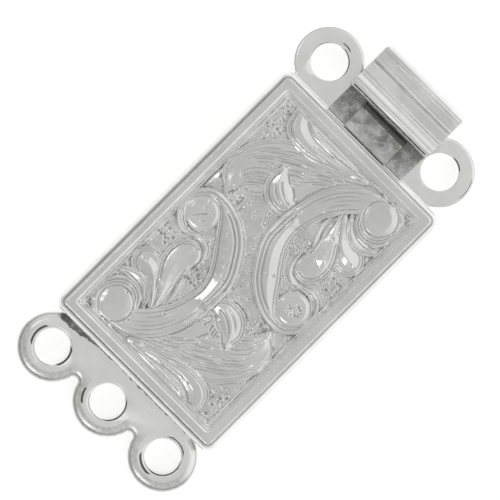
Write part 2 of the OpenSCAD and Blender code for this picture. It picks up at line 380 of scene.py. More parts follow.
back.data.materials.append(painted_shade_at_holes("back_plating_bright", [
    (fixed_x, ring_ys[0], fixed_hole_r, ((-0.05, 1.0, 0.16, 0.13, 0.75), (0.1, -1.0, 0.02, 0.12, 0.7))),
    (fixed_x, ring_ys[1], fixed_hole_r, ((0.0, -1.0, 0.03, 0.08, 0.4), (-0.5, 0.87, 0.40, 0.12, 0.93))),
    (fixed_x, ring_ys[2], fixed_hole_r,
     ((-0.9, 0.4, 0.20, 0.13, 0.8), (-0.5, -0.8, 0.02, 0.07, 0.3), (0.9, -0.1, 0.15, 0.08, 0.75))),
], seam=True))

# Tongue's ring plate: stamped from 0.7 mm brass, flatter than the fixed rings and with a narrower
# rolled edge. It is soldered under the outer end of the folded strip, a little off the middle.

free_x, free_shift, free_hole_r = 11.22, 0.3, 1.05
free_low, free_high, free_end = 0.16, 0.86, 9.38
free_ys = [y + free_shift for y in ring_ys]


def clean(piece, wanted=lambda middle, normal: True):
    """Takes out what a cut leaves across the flat faces that the test accepts."""
    pick(piece, "FACE", lambda middle, normal: True)
    bpy.ops.mesh.remove_doubles(threshold=0.0005)
    bpy.ops.object.mode_set(mode="OBJECT")
    pick(piece, "FACE", wanted)
    bpy.ops.mesh.dissolve_limited(angle_limit=math.radians(0.4))
    bpy.ops.object.mode_set(mode="OBJECT")


def lies_flat(middle, normal):
    """Picks level faces."""
    return abs(normal.z) > 0.9999


free_outline = ring_row(free_x, free_shift, outward=1, leaves=151, steps=60, back=2.62, half=5.37)
free = stamped(free_outline, free_low, free_high, roll=0.20, drop=0.09, steps=5)
work(free, block((8, -9, -1), (free_end, 9, 3)), "DIFFERENCE")  # its inner end, cut square
for y in free_ys:
    work(free, drill(free_x, y, free_low, free_high, free_hole_r, flare=0.09), "DIFFERENCE")
clean(free, lies_flat)
# its flat faces stay flat in the light, however the cuts have divided them
pick(free, "FACE", lies_flat)
bpy.ops.mesh.mod_weighted_strength(set=True, face_strength="STRONG")
bpy.ops.object.mode_set(mode="OBJECT")
finish_piece(free, "tongue_ring_plate", "tongue")
# the crescents given here are painted shade
free.data.materials.append(painted_shade_at_holes("ring_plate_bright", [
    (free_x, free_ys[0], free_hole_r,
     ((0.7, -0.7, 0.03, 0.06, 0.6), (1.0, -0.1, 0.24, 0.07, 0.96), (0.2, 1.0, 0.03, 0.03, 0.7),
      (0.3, -0.95, 0.82, 0.05, 0.9))),
    (free_x, free_ys[2], free_hole_r, ((0.93, -0.36, 0.05, 0.07, 0.9), (0.2, -1.0, 0.80, 0.04, 0.9))),
]))

# Folded strip, lower leaf: 0.35 mm hard-rolled brass that slides on the box's floor, soldered on
# the ring plate and drilled with it at the middle hole. The fold's lower quarter belongs to it.

strip_t, strip_half, strip_z, strip_end = 0.35, 2.9, 0.86, 12.67
fold_x, fold_z, fold_in, fold_out = -3.2, 1.36, 0.15, 0.5


def bend_end(piece, angle, x, z):
    """Carries the piece's inner end round the fold's axis."""
    pick(piece, "FACE", lambda middle, normal: normal.x < -0.9)
    bpy.ops.mesh.spin(steps=8, angle=math.radians(angle), center=(x, 0, z), axis=(0, 1, 0))
    bpy.ops.object.mode_set(mode="OBJECT")


lower = block((fold_x, -strip_half, strip_z), (strip_end, strip_half, strip_z + strip_t))
bend_end(lower, -90, fold_x, fold_z)
bpy.ops.object.select_all(action="DESELECT")
bpy.ops.mesh.primitive_cylinder_add(
    vertices=96, radius=free_hole_r, depth=3, location=(free_x, free_shift, 1.5)
)
work(lower, settle(bpy.context.object), "DIFFERENCE")
clean(lower)
round_over(
    lower,
    lambda p, along: p.x > fold_x + 0.01 and p.z > strip_z + 0.1 and is_level(along)
    and (abs(abs(p.y) - strip_half) < 0.01 or p.x > strip_end - 0.01),
    0.07, 3,
)
face_outwards(lower)
finish_piece(lower, "strip_lower_leaf", "tongue")
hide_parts("tongue_plate")


def strip_finish():
    """Rolled strip, grey, with mottled painted shade towards the riser and a painted shadow, darkest under
    the tab's lip.
    """
    material = plating(
        "strip_plating_rolled", silver=(0.86, 0.86, 0.85), shade=(0.74, 0.74, 0.73), rough=0.20, peel=1.0,
        along=(300, 7000, 7000),
    )
    tree = material.node_tree
    x, y, grain = place_on(tree)
    place = add(tree, "ShaderNodeTexCoord", output=3)
    blotch = noise(tree, place, 1300, 6, 0.68, Distortion=0.25)
    beside = (y * y).ramp(2.5, 2.62)
    # painted shade: the strip is darkened in mottled patches from the end wall to under the tab
    painted_shade_near_tab = x.ramp(9.2, 9.9, 0.35, 1.0) * x.ramp(11.5, 12.2, 1.0, 0.0)
    veins = noise(tree, place, 900, 3, Distortion=0.8) - 0.5
    veins = (veins * veins).ramp(0.0, 0.0006, 0.30, 0.0)
    mottled = (blotch + beside * 0.03 + (x - 10.2) * 0.05).ramp(0.34, 0.66, 0.42, 0.95)
    material = darken_finish(material, painted_shade_near_tab * (mottled - veins), (0.235, 0.235, 0.21))
    # painted shadow, darkest under the tab's lip
    under_lip_shadow = (x + grain * 0.16).ramp(10.66, 10.72) * x.ramp(11.4, 11.6, 1.0, 0.0) * (1 - beside * 0.6)
    return darken_finish(material, under_lip_shadow * blotch.ramp(0.3, 0.7, 0.95, 0.75), (0.115, 0.115, 0.108))


strip_plating = strip_finish()
lower.data.materials.append(strip_plating)

# Folded strip, spring leaf: the same strip turned back over itself and sprung upwards. Its square
# shoulders catch behind the end wall, the neck passes the notch and turns up to carry the tab.

spring_angle = 2.43
shoulder_at, neck_half = 11.92, 1.6
riser_at, riser_z, riser_r = 14.175, 1.02, 0.52


def raise_leaf(piece):
    """Turns what was drawn level from the fold's axis up to the leaf's slope."""
    piece.rotation_euler = (0, math.radians(-spring_angle), 0)
    piece.location = (fold_x, 0, fold_z)
    settle(piece)


def drawn_bar(section, half_width):
    """A bar of the section, which is given as length and height, lying across the strands."""
    bpy.ops.object.select_all(action="DESELECT")
    bpy.ops.mesh.primitive_circle_add(vertices=len(section), radius=1, fill_type="NGON")
    bar = bpy.context.object
    for point, (x, z) in zip(bar.data.vertices, section):
        point.co = (x, half_width, z)
    pick(bar, "FACE", lambda middle, normal: True)
    bpy.ops.mesh.extrude_region_move(TRANSFORM_OT_translate={"value": (0, -2 * half_width, 0)})
    bpy.ops.object.mode_set(mode="OBJECT")
    face_outwards(bar)
    return bar


leaf = block((0, -strip_half, fold_in), (shoulder_at, strip_half, fold_out))
bend_end(leaf, 90 - spring_angle, 0, 0)
# the neck sweeps up in front of the tab's lip, to which it is soldered
neck_side = [(riser_at + strip_t, 0.16), (riser_at + strip_t, riser_z), (riser_at + 0.24, riser_z)]
neck_side += swing(riser_at - 0.35, riser_z, riser_r, -4, -90, 12)
neck_side += [(shoulder_at - 0.5, fold_out), (shoulder_at - 0.5, fold_in), (riser_at + 0.1, fold_in)]
work(leaf, drawn_bar(neck_side, neck_half), "UNION")
clean(leaf)
round_over(
    leaf,
    lambda p, along: abs(along.x) > 0.9 and p.x > 0.1 and p.z > fold_out - 0.01
    and (abs(abs(p.y) - strip_half) < 0.01 or abs(abs(p.y) - neck_half) < 0.01),
    0.08, 3,
)
face_outwards(leaf)
raise_leaf(leaf)
finish_piece(leaf, "strip_spring_leaf", "lever")
leaf.data.materials.append(strip_plating)
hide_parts("spring_leaf")

# Thumb tab: a short length of brass drawn with a rolled lip at the near edge, two fine ribs and a
# groove before the outer band, sawn off 6 mm wide, filed at the corners and soldered on the neck.

tab_at, tab_base, tab_l, tab_half, tab_t = 14.35, 0.7, 3.2, 3.0, 0.55
lip_r, tab_corner, far_r = 0.42, 0.3, 0.42


def side_view():
    """The drawn section from the near underside round over the top, as length and height on the tab."""
    points = swing(lip_r, lip_r, lip_r, 270, 62, 18)
    points += [(0.74, 0.715), (0.86, 0.60), (0.92, 0.565), (1.0, 0.552)]
    points += swing(1.22, tab_t - 0.005, 0.1, 180, 0, 8)
    points += [(1.36, 0.545), (1.5, 0.55), (1.72, 0.55), (1.86, 0.545)]
    points += [(1.9, 0.50), (1.935, 0.49), (1.97, 0.51)]
    points += swing(2.06, tab_t, 0.075, 200, 0, 8)
    points += [(2.2, 0.548), (2.45, 0.545), (2.62, 0.535), (2.66, 0.50), (2.70, 0.50), (2.74, 0.53)]
    points += swing(tab_l - far_r, tab_t - far_r, far_r, 86, 0, 9)
    points += [(tab_l, 0.05), (tab_l - 0.05, 0.0)]
    return points


def sawn_edge(p, along):
    """Whether an edge lies round the tab's top, at its sawn ends or at its filed corners."""
    if abs(along.y) > 0.8 or abs(along.z) > 0.99 or abs(p.y) < tab_half - 0.32 or p.z < tab_base + 0.3:
        return False
    past_x = max(abs(p.x - tab_at - tab_l / 2) - (tab_l / 2 - tab_corner + 0.01), 0)
    past_y = max(abs(p.y) - (tab_half - tab_corner), 0)
    return abs(p.y) > tab_half - 0.005 or math.hypot(past_x, past_y) > tab_corner - 0.015


tab = drawn_bar([(tab_at + x, tab_base + z) for x, z in side_view()], tab_half)
filed = block((tab_at - 0.01, -tab_half, tab_base - 0.1), (tab_at + tab_l + 0.01, tab_half, tab_base + 1.2))
round_over(filed, upright, tab_corner, 7)
work(tab, filed, "INTERSECT")
round_over(tab, sawn_edge, 0.05, 2)
raise_leaf(tab)
finish_piece(tab, "thumb_tab_ribbed", "lever", angle=28)


def tab_finish():
    """Drawn brass, softly polished, with painted shade in lines beside the lip and the ribs."""
    material = plating(
        "tab_plating_drawn", silver=(0.91, 0.914, 0.895), shade=(0.80, 0.804, 0.785), rough=0.22, peel=2.2,
        along=(9000, 260, 9000),
    )
    x, y, grain = place_on(material.node_tree)
    wander = x + grain * 0.05
    darkening = 0.0
    # painted shade: dark lines at the lip's foot and beside the ribs and grooves, the first strongest
    for at, broad, dark in (
        (11.27, 0.05, 3.0), (11.62, 0.02, 0.25), (12.06, 0.022, 0.35),
        (13.05, 0.03, 0.75), (13.28, 0.02, 0.35), (13.62, 0.02, 0.25),
    ):
        line = (wander - at).ramp(-broad, 0.0) * (wander - at).ramp(0.0, broad, 1.0, 0.0)
        darkening = darkening + line * (grain.ramp(-0.25, 0.1, 0.3, 1.0) * dark)
    return darken_finish(material, darkening * (y * y).ramp(7.6, 8.2, 1.0, 0.0))


tab.data.materials.append(tab_finish())
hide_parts("thumb_tab")

# Shell of the box: pressed brass with upright walls, a rounded shoulder, three fine scored lines on a
# narrow rim and a stepped recess for the scroll panel. The slot for the strip and the notch for the
# neck are sawn through the tongue's end wall. It is soldered on the floor plate.

top_z, shoulder_r, wall_t = 3.3, 0.5, 0.5
ceiling_z, catch_z, slot_half, notch_half = 2.45, 1.945, 3.02, 1.72
recess_z, foot_x, foot_y, lip_x, lip_y = 2.85, 7.954, 4.754, 8.671, 5.471
rim_x, rim_y = 8.50, 5.30  # just outside the recess's upper edge
# how far out each ledge of the recess's slope lies, and how high
ledges = ((8.39, 3.14), (8.25, 2.995))
# how far each scored line lies inside the box's side, its breadth and its depth
rim_lines = ((0.20, 0.05, 0.135), (0.42, 0.06, 0.05), (0.60, 0.085, 0.07))
line_corner = 0.66  # the corner radius that a line at the very side would have

shell = block((-end_x, -side_y, plate_t), (end_x, side_y, top_z))
round_over(shell, upright, corner_r, 10)
round_over(shell, lambda p, along: is_level(along) and p.z > top_z - 0.01, shoulder_r, 9)

recess = block((-foot_x, -foot_y, recess_z - 0.1), (foot_x, foot_y, top_z + 0.2))
pick(recess, "FACE", lambda middle, normal: normal.z > 0.9)
bpy.ops.transform.resize(value=(lip_x / foot_x, lip_y / foot_y, 1))
bpy.ops.object.mode_set(mode="OBJECT")
round_over(recess, lambda p, along: abs(along.z) > 0.5, 0.15, 5)
work(shell, recess, "DIFFERENCE")
round_over(
    shell,
    lambda p, along: is_level(along) and p.z > top_z - 0.01 and abs(p.x) < rim_x and abs(p.y) < rim_y,
    0.03, 2,
)
for x, low in ledges:
    y = x - (end_x - side_y)
    ledge = block((-x, -y, low), (x, y, top_z + 0.2))
    round_over(ledge, upright, 0.13, 5)
    work(shell, ledge, "DIFFERENCE")
for outside, broad, deep in rim_lines:
    x, y = end_x - outside, side_y - outside
    scored = block((-x, -y, top_z - deep), (x, y, top_z + 0.2))
    round_over(scored, upright, line_corner - outside, 6)
    inside = outside + broad
    x, y = end_x - inside, side_y - inside
    kept = block((-x, -y, top_z - 0.2), (x, y, top_z + 0.4))
    if inside < line_corner - 0.04:
        round_over(kept, upright, line_corner - inside, 6)
    work(scored, kept, "DIFFERENCE")
    work(shell, scored, "DIFFERENCE")
x, y = end_x - wall_t, side_y - wall_t
hollow = block((-x, -y, plate_t - 0.1), (x, y, ceiling_z))
round_over(hollow, upright, 0.3, 5)
work(shell, hollow, "DIFFERENCE")
for half, high in ((slot_half, catch_z), (notch_half, ceiling_z)):
    work(shell, block((x - 0.2, -half, plate_t - 0.1), (end_x + 0.2, half, high)), "DIFFERENCE")
clean(shell)
finish_piece(shell, "box_shell", "box")


def shell_finish():
    """Polished plating; painted shade darkens the upright walls, where the white floor is mirrored."""
    material = plating(
        "shell_plating_bright", silver=(0.87, 0.873, 0.855), shade=(0.79, 0.793, 0.775), rough=0.13, peel=2.2
    )
    x, y, grain = place_on(material.node_tree)
    within_x = (x * x).ramp(end_x**2 - 0.59, end_x**2 - 0.19, 1.0, 0.0)
    within_y = (y * y).ramp(side_y**2 - 0.41, side_y**2 - 0.11, 1.0, 0.0)
    # painted shade on the upright walls, mottled
    painted_wall_shade = 1 - within_x * within_y
    return darken_finish(material, painted_wall_shade * grain.ramp(-0.3, 0.3, 0.42, 0.55), (0.42, 0.42, 0.41))


shell.data.materials.append(shell_finish())
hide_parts("cover")

# Scroll panel: the pressed and plated relief in the recess. Half of it is drawn stroke by stroke, as a
# die is cut, each with its line, widths, section, rolled borders and scored lines. The other half is
# the same, but for a few strokes, turned half round. The ground is stippled and left darker.

panel_x, panel_y, cells_x, cells_y = 8.18, 4.98, 388, 236
bpy.ops.object.select_all(action="DESELECT")
bpy.ops.mesh.primitive_grid_add(x_subdivisions=cells_x, y_subdivisions=cells_y, size=2)
panel = bpy.context.object
panel.scale = (panel_x, panel_y, 1)
settle(panel)
spots = np.empty(len(panel.data.vertices) * 3)
panel.data.vertices.foreach_get("co", spots)
spots = spots.reshape(cells_y + 1, cells_x + 1, 3)
at_x, at_y = spots[..., 0], spots[..., 1]
relief = np.zeros_like(at_x)
bare = np.ones_like(at_x)  # 1 where no stroke has covered the ground
die = np.random.default_rng(7)


def flow(points, steps=12):
    """A smooth line through the points; what follows X and Y in each, such as the width, flows too."""
    p = np.array(points, float)
    p = np.vstack([2 * p[0] - p[1], p, 2 * p[-1] - p[-2]])
    t = np.linspace(0, 1, steps, endpoint=False)[:, None]
    runs = [
        0.5 * (2 * b + (c - a) * t + (2 * a - 5 * b + 4 * c - d) * t**2 + (3 * b - a - 3 * c + d) * t**3)
        for a, b, c, d in zip(p, p[1:], p[2:], p[3:])
    ]
    return np.vstack(runs + [p[-2:-1]])


def ease(x):
    """Rises softly from 0 to 1."""
    x = np.clip(x, 0, 1)
    return x * x * (3 - 2 * x)


class Stroke:
    """Where each point of the panel lies on a stroke: along it, across it, and how far inside its edge."""

    def __init__(self, points):
        line = flow(points)
        reach = line[:, 2].max() + 0.1
        low, high = line[:, :2].min(0) - reach, line[:, :2].max(0) + reach
        self.near = (at_x > low[0]) & (at_x < high[0]) & (at_y > low[1]) & (at_y < high[1])
        spot = np.column_stack([at_x[self.near], at_y[self.near]])
        share = np.concatenate([[0], np.cumsum(np.hypot(*np.diff(line[:, :2], axis=0).T))])
        line = np.column_stack([line[:, :3], share / share[-1]])
        closest = np.argmin((spot[:, :1] - line[:, 0]) ** 2 + (spot[:, 1:] - line[:, 1]) ** 2, axis=1)
        best = None
        for first in (np.clip(closest - 1, 0, len(line) - 2), np.clip(closest, 0, len(line) - 2)):
            a, b = line[first], line[first + 1]
            run, away = b[:, :2] - a[:, :2], spot - a[:, :2]
            part = np.clip((run * away).sum(1) / np.maximum((run * run).sum(1), 1e-12), 0, 1)
            off = away - run * part[:, None]
            width_and_share = a[:, 2:] + (b[:, 2:] - a[:, 2:]) * part[:, None]
            side = run[:, 0] * away[:, 1] - run[:, 1] * away[:, 0]
            found = np.column_stack([np.hypot(*off.T), width_and_share, side])
            best = found if best is None else np.where((found[:, 0] < best[:, 0])[:, None], found, best)
        self.half, self.t = best[:, 1], best[:, 2]
        self.d = np.where(best[:, 3] < 0, -1, 1) * best[:, 0]
        self.s = np.clip(self.d / self.half, -1, 1)
        self.inside = self.half - best[:, 0]

    def crowned(self, base, crown):
        """Base height and a rounded crown."""
        return base + crown * (1 - self.s**2)

    def facets(self, *corners):
        """A cut section: each corner has its share across, from -1 (right) to 1 (left), and its height."""
        return np.interp(self.s, *zip(*corners))

    def border(self, side, first=0.0, last=1.0, size=0.03, width=0.12):
        """A fine rolled edge along one side (1 left, -1 right, 0 both), with two scored lines inside it."""
        there = ease((self.t - first) / 0.06) * ease((last - self.t) / 0.06)
        there = there * (1 if side == 0 else (self.s * side > 0))
        roll = size * np.exp(-(((self.inside - 0.9 * width) / (0.45 * width)) ** 2))
        line = 1.4 * size * np.exp(-(((self.inside - 1.9 * width) / 0.045) ** 2))
        fine = 1.3 * size * np.exp(-(((self.inside - 3.1 * width) / 0.04) ** 2))
        return there * (roll - line - fine)

    def scored(self, *lines, width=0.042):
        """Lines cut along the stroke: each has its share across, where it starts and ends, and its depth."""
        cut = 0.0
        for across, first, last, deep in lines:
            there = ease((self.t - first) / 0.1) * ease((last - self.t) / 0.1)
            cut = cut - 2.4 * there * deep * np.exp(-(((self.d - across * self.half) / width) ** 2))
        return cut


def strike(stroke, height, soft=0.08, here=True, turned=True):
    """Presses a stroke over what lies there, and the same stroke turned half round."""
    cover, top = np.zeros_like(relief), np.zeros_like(relief)
    cover[stroke.near] = ease(stroke.inside / soft)
    top[stroke.near] = height
    for wanted, c, h in ((here, cover, top), (turned, cover[::-1, ::-1], top[::-1, ::-1])):
        if wanted:
            relief[:] = relief * (1 - c) + h * c
            bare[:] = bare * (1 - c)


def press(points, section, borders=(), lines=(), soft=0.08, here=True, turned=True):
    """Strikes a leaf along its points, with a cut section. Each rolled border and scored line has the values
    that Stroke's own methods take."""
    stroke = Stroke(points)
    height = stroke.facets(*section)
    for border in borders:
        height = height + stroke.border(*border)
    strike(stroke, height + stroke.scored(*lines), soft, here, turned)


def nick(points, deep, wide=0.04, both=True):
    """One cut of the graver across whatever lies there: points of the line, its depth and its half width."""
    stroke = Stroke([(x, y, 2.2 * wide) for x, y in points])
    ends = ease(np.minimum(stroke.t, 1 - stroke.t) / 0.25) * (stroke.inside > 0)
    cut = np.zeros_like(relief)
    cut[stroke.near] = 1.9 * deep * np.exp(-((stroke.d / wide) ** 2)) * ends
    relief[:] = relief - cut - (cut[::-1, ::-1] if both else 0)


def sink(cx, cy, radius, deep, stretch=1.0, lean=0.0):
    """Sinks a small pit, round or drawn out along its lean."""
    i0, i1 = np.searchsorted(at_y[:, 0], [cy - 0.3, cy + 0.3])
    j0, j1 = np.searchsorted(at_x[0], [cx - 0.3, cx + 0.3])
    part = (slice(i0, i1), slice(j0, j1))
    along = (at_x[part] - cx) * math.cos(lean) + (at_y[part] - cy) * math.sin(lean)
    across = (at_y[part] - cy) * math.cos(lean) - (at_x[part] - cx) * math.sin(lean)
    relief[part] -= deep * np.exp(-((along / stretch) ** 2 + across**2) / radius**2)


def vein(path, share, first, long, deep, wide):
    """A vein of the fan, that share of the way from one side of the path to the other. It starts at one of
    the first steps, and its length and depth are drawn between the two values of each."""
    lie = share + die.uniform(-0.02, 0.02)
    run = flow([(*((1 - lie) * np.array(a) + lie * np.array(b)), 0) for a, b in path], 6)[:, :2]
    start = int(die.integers(0, first))
    nick(run[start: start + int(die.integers(*long))], die.uniform(*deep), wide)


# stippled ground: punched dots, deep in the patches between the leaves and faint elsewhere; each patch
# has its place and size
patches = ((-5.7, 4.8, 0.3), (-2.3, 4.4, 0.6), (-2.6, 1.5, 0.65), (-7.0, -4.5, 0.85),
           (-8.0, -1.6, 1.2), (-4.2, -0.55, 0.4), (-2.0, -3.0, 0.45), (-5.9, 2.4, 0.35))
dot_pitch = 0.17
for gx in np.arange(-panel_x, panel_x, dot_pitch):
    for gy in np.arange(-panel_y, panel_y, dot_pitch):
        cx, cy = np.array([gx, gy]) + die.uniform(-0.08, 0.08, 2)
        radius, deep = die.uniform(0.035, 0.085), die.uniform(0.0, 1.0) ** 2.2
        close = max(
            math.exp(-(((side * cx - px) ** 2 + (side * cy - py) ** 2) / size**2) ** 2)
            for px, py, size in patches for side in (1, -1)
        )
        sink(cx, cy, radius, 0.005 + 0.035 * deep**4 + 0.09 * close * deep)

# the fan that opens along the long side: an upper finger, then the broad lower lobe, both nearly flat
press(
    [(-7.6, 2.1, 0.15), (-6.9, 0.9, 0.4), (-6.0, -0.05, 0.62), (-5.1, -0.65, 0.78), (-4.3, -1.1, 0.78),
     (-3.6, -1.4, 0.5), (-3.2, -1.5, 0.2)],
    ((-1, 0.10), (-0.4, 0.135), (0.5, 0.14), (1, 0.10)), soft=0.3,
)
press(
    [(-7.85, 1.6, 0.2), (-7.3, 0.2, 0.6), (-6.4, -1.15, 1.05), (-5.25, -2.45, 1.5), (-4.0, -3.35, 1.55),
     (-3.0, -3.85, 1.1), (-2.05, -3.75, 0.25)],
    ((-1, 0.08), (-0.84, 0.135), (-0.45, 0.125), (-0.1, 0.15), (0.3, 0.14), (0.7, 0.155), (1, 0.11)),
    borders=((-1, 0.42, 0.99, 0.024, 0.10), (1, 0.72, 0.99, 0.02, 0.09)), soft=0.10,
)
# its veins: short and deep near the root, long and fine over the lobe
root = [((-7.75, 1.25), (-6.6, 0.95)), ((-7.35, 0.0), (-5.75, -0.35)), ((-6.85, -1.35), (-4.7, -1.15))]
lobe = [((-7.0, -0.6), (-4.9, -0.9)), ((-6.65, -1.7), (-4.3, -1.5)), ((-5.9, -3.0), (-3.7, -2.2)),
        ((-4.9, -4.1), (-3.1, -3.0)), ((-3.9, -4.55), (-2.5, -3.4))]
for share in np.linspace(0.03, 0.97, 15):
    vein(root, share, first=3, long=(8, 13), deep=(0.022, 0.040), wide=0.028)
for share in np.repeat(np.linspace(0.02, 0.98, 27), 2):
    vein(lobe, share, first=14, long=(7, 16), deep=(0.006, 0.020), wide=0.031)
# ragged little leaves where the fan ends
for x0, y0, x1, y1, x2, y2 in (
    (-3.4, -3.05, -2.9, -3.45, -2.1, -3.62), (-2.9, -3.75, -2.5, -3.9, -2.1, -3.85),
    (-3.2, -2.95, -2.7, -3.2, -2.0, -3.3), (-2.5, -3.15, -2.3, -3.5, -2.2, -3.95),
    (-2.05, -3.2, -2.15, -3.6, -2.4, -4.0),
):
    ragged = Stroke([(x0, y0, 0.03), (x1, y1, 0.09), (x2, y2, 0.03)])
    strike(ragged, ragged.crowned(0.11, 0.05))
# the pair in the corner: a narrow leaf by the short side, then the broad crescent
press(
    [(-7.98, 1.8, 0.12), (-7.85, 0.4, 0.3), (-7.75, -1.0, 0.42), (-7.8, -2.4, 0.42), (-8.05, -3.5, 0.2)],
    ((-1, 0.08), (-0.3, 0.13), (0.5, 0.12), (1, 0.06)),
    lines=((-0.3, 0.1, 0.9, 0.018), (0.35, 0.1, 0.8, 0.018)), soft=0.15,
)
press(
    [(-7.75, 1.2, 0.15), (-7.35, -0.2, 0.35), (-7.05, -1.5, 0.55), (-7.05, -2.5, 0.68), (-7.35, -3.3, 0.76),
     (-8.2, -3.75, 0.5)],
    ((-1, 0.05), (-0.55, 0.11), (-0.15, 0.19), (0.35, 0.20), (0.7, 0.16), (1, 0.12)),
    borders=((1, 0.35, 1.2, 0.026, 0.10),),
    lines=((0.1, 0, 0.5, 0.018), (0.5, 0, 0.45, 0.018), (-0.35, 0, 0.6, 0.018), (-0.75, 0.3, 1, 0.014)),
    soft=0.1,
)
# the small leaf that curls over between the fan and the middle; on the far side it sits nearer the fan
curl = [
    (-2.95, -0.5, 0.45), (-2.85, -1.05, 0.76), (-3.05, -1.7, 0.9), (-3.5, -2.2, 0.78), (-4.2, -2.5, 0.35),
]
for dx, dy, here in ((0.0, 0.0, True), (-0.85, 0.3, False)):
    press(
        [(x + dx, y + dy, half) for x, y, half in curl],
        ((-1, 0.07), (-0.7, 0.13), (-0.45, 0.16), (-0.05, 0.21), (0.3, 0.19), (1, 0.13)),
        borders=((1, 0.0, 0.97, 0.03, 0.10),), lines=((-0.25, 0.1, 0.8, 0.016), (0.2, 0.2, 0.7, 0.012)),
        here=here, turned=not here, soft=0.1,
    )
sliver = Stroke([(-2.3, -0.75, 0.06), (-2.02, -1.2, 0.1), (-2.02, -1.8, 0.09), (-2.3, -2.45, 0.04)])
strike(sliver, sliver.crowned(0.08, 0.05), turned=False)
for x0, y0, x1, y1 in ((-4.35, -1.25, -3.85, -1.15), (-4.45, -1.45, -3.9, -1.4), (-4.5, -1.65, -3.95, -1.6),
                       (-4.4, -0.75, -3.6, -0.95), (-5.2, -0.95, -4.3, -1.35)):
    nick([(x0, y0), ((x0 + x1) / 2, (y0 + y1) / 2 + 0.03), (x1, y1)], 0.03, both=False)
# the lobed leaf inside the great scroll: the round upper lobe, the crescent over its left side, a thin
# leaf by the volute, and the long lobe
press(
    [(-5.75, 1.95, 0.2), (-5.0, 2.5, 0.55), (-4.4, 3.05, 0.85), (-4.08, 3.6, 1.0), (-4.02, 3.95, 0.98)],
    ((-1, 0.10), (-0.76, 0.15), (-0.35, 0.145), (0.0, 0.215), (0.55, 0.155), (1, 0.10)),
    borders=((0, 0.5, 1.2, 0.03, 0.10),), lines=((-0.3, 0, 0.5, 0.012), (0.25, 0, 0.6, 0.008)),
)
press(
    [(-6.05, 2.25, 0.1), (-5.5, 2.7, 0.28), (-5.12, 3.25, 0.40), (-5.02, 3.85, 0.40), (-5.15, 4.45, 0.30),
     (-5.45, 4.95, 0.12)],
    ((-1, 0.11), (-0.55, 0.19), (0.1, 0.14), (1, 0.09)),
    borders=((-1, 0.1, 1.0, 0.03, 0.08),), lines=((0.45, 0.1, 0.9, 0.016),),
)
press(
    [(-2.6, 1.85, 0.05), (-1.9, 1.84, 0.14), (-1.25, 2.1, 0.2), (-1.0, 2.6, 0.2), (-1.08, 3.15, 0.14),
     (-1.4, 3.65, 0.05)],
    ((-1, 0.08), (-0.2, 0.14), (0.5, 0.12), (1, 0.08)),
)
press(
    [(-5.75, 1.85, 0.12), (-4.8, 2.15, 0.42), (-3.8, 2.58, 0.72), (-3.0, 2.84, 0.90), (-2.35, 2.84, 0.94),
     (-2.1, 2.72, 0.88)],
    ((-1, 0.08), (-0.75, 0.14), (-0.5, 0.15), (0.0, 0.175), (0.45, 0.155), (0.8, 0.13), (1, 0.10)),
    borders=((1, 0.45, 1.2, 0.03, 0.10),),
    lines=((-0.8, 0, 0.85, 0.016), (-0.55, 0, 0.5, 0.012), (0.5, 0, 0.4, 0.012), (0.25, 0, 0.3, 0.012)),
    soft=0.1,
)
# a bright facet at the far leaf's tip, the thin leaf at the long lobe's root and the nick behind it
facet = Stroke([(-2.82, 3.04, 0.24), (-2.78, 2.85, 0.20), (-2.74, 2.5, 0.03)])
strike(facet, 0.19 - 0.058 * facet.t, soft=0.05, here=False)
press([(-5.25, 1.52, 0.05), (-4.4, 1.56, 0.15), (-3.6, 1.82, 0.18), (-3.1, 2.0, 0.05)],
      ((-1, 0.07), (-0.3, 0.15), (1, 0.11)))
nick([(-3.2, 1.95), (-3.05, 1.8), (-3.1, 1.6)], 0.03, 0.06)
# the great stem, from the outer volute down, along, up and round the inner volute
stem = Stroke([
    (-7.35, 3.0, 0.7), (-7.0, 2.15, 0.88), (-6.15, 1.25, 0.93), (-5.05, 0.62, 0.87), (-3.95, 0.33, 0.80),
    (-2.85, 0.22, 0.78), (-1.75, 0.38, 0.87), (-0.75, 0.92, 0.90), (0.08, 1.55, 0.90), (0.80, 2.3, 0.72),
    (1.27, 3.1, 0.5), (1.33, 3.9, 0.4), (0.98, 4.5, 0.34), (0.4, 4.78, 0.28), (-0.35, 4.75, 0.28),
    (-0.95, 4.4, 0.32), (-1.2, 3.85, 0.30), (-1.1, 3.3, 0.18), (-0.85, 2.85, 0.06),
])
plain = stem.facets((-1, 0.08), (-0.7, 0.165), (-0.2, 0.185), (0.4, 0.18), (0.75, 0.165), (1, 0.10))
ridged = stem.facets(
    (-1, 0.08), (-0.72, 0.19), (-0.35, 0.215), (0.04, 0.22), (0.10, 0.215), (0.78, 0.150), (1, 0.10)
)
tail = stem.facets((-1, 0.08), (-0.7, 0.17), (-0.3, 0.185), (-0.1, 0.19), (0.85, 0.155), (1, 0.10))
opened, narrowed = ease((stem.t - 0.29) / 0.03), ease((stem.t - 0.66) / 0.06)
height = plain * (1 - opened) + (ridged * (1 - narrowed) + tail * narrowed) * opened
height = height + stem.border(-1, 0.26, 1.2, 0.040, 0.19) + stem.border(1, 0.14, 1.2, 0.028, 0.10)
height = height + stem.scored(
    (-0.15, 0.02, 0.26, 0.008), (-0.38, 0, 0.40, 0.013), (-0.55, 0.08, 0.33, 0.008), (-0.68, 0, 0.44, 0.016),
    (0.1, 0, 0.2, 0.006), (0.35, 0.05, 0.25, 0.008), (0.62, 0, 0.24, 0.012), (-0.85, 0, 0.30, 0.018),
)
strike(stem, height, soft=0.1)
